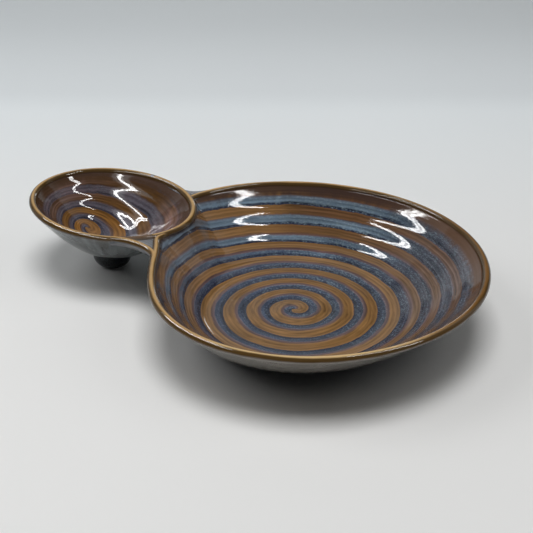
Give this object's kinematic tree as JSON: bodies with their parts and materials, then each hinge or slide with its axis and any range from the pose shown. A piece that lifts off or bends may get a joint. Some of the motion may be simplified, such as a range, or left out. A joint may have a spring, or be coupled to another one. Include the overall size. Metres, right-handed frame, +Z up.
{
  "type": "chip and dip platter",
  "caption": "Hand-thrown glazed stoneware platter: a shallow round dish for chips with an oval dip bowl luted into its rim, spiral throwing ridges inside.",
  "frame": {"origin": "middle of the dish's flat base, on the table and on the axis the dish was thrown on", "axes": "+Z up; +X from the dip bowl towards the dish, along the platter's length"},
  "size_m": [0.322, 0.2338, 0.0563],
  "materials": {
    "dish_glaze": "gloss rutile glaze, amber where it is thin on ridges and rims, blue where it pools in the grooves",
    "bowl_glaze": "gloss rutile glaze, amber and blue rings inside, grey-green outside",
    "foot_glaze": "gloss, nearly black",
    "web_glaze": "gloss, blue-grey where the glaze pools",
    "coil_glaze": "gloss, grey-green"
  },
  "bodies": {
    "root": {"dish": "dish_glaze", "dip_bowl": "bowl_glaze", "bowl_foot": "foot_glaze", "front_web": "web_glaze", "back_web": "web_glaze", "seam_coil": "coil_glaze"}
  },
  "joints": []
}
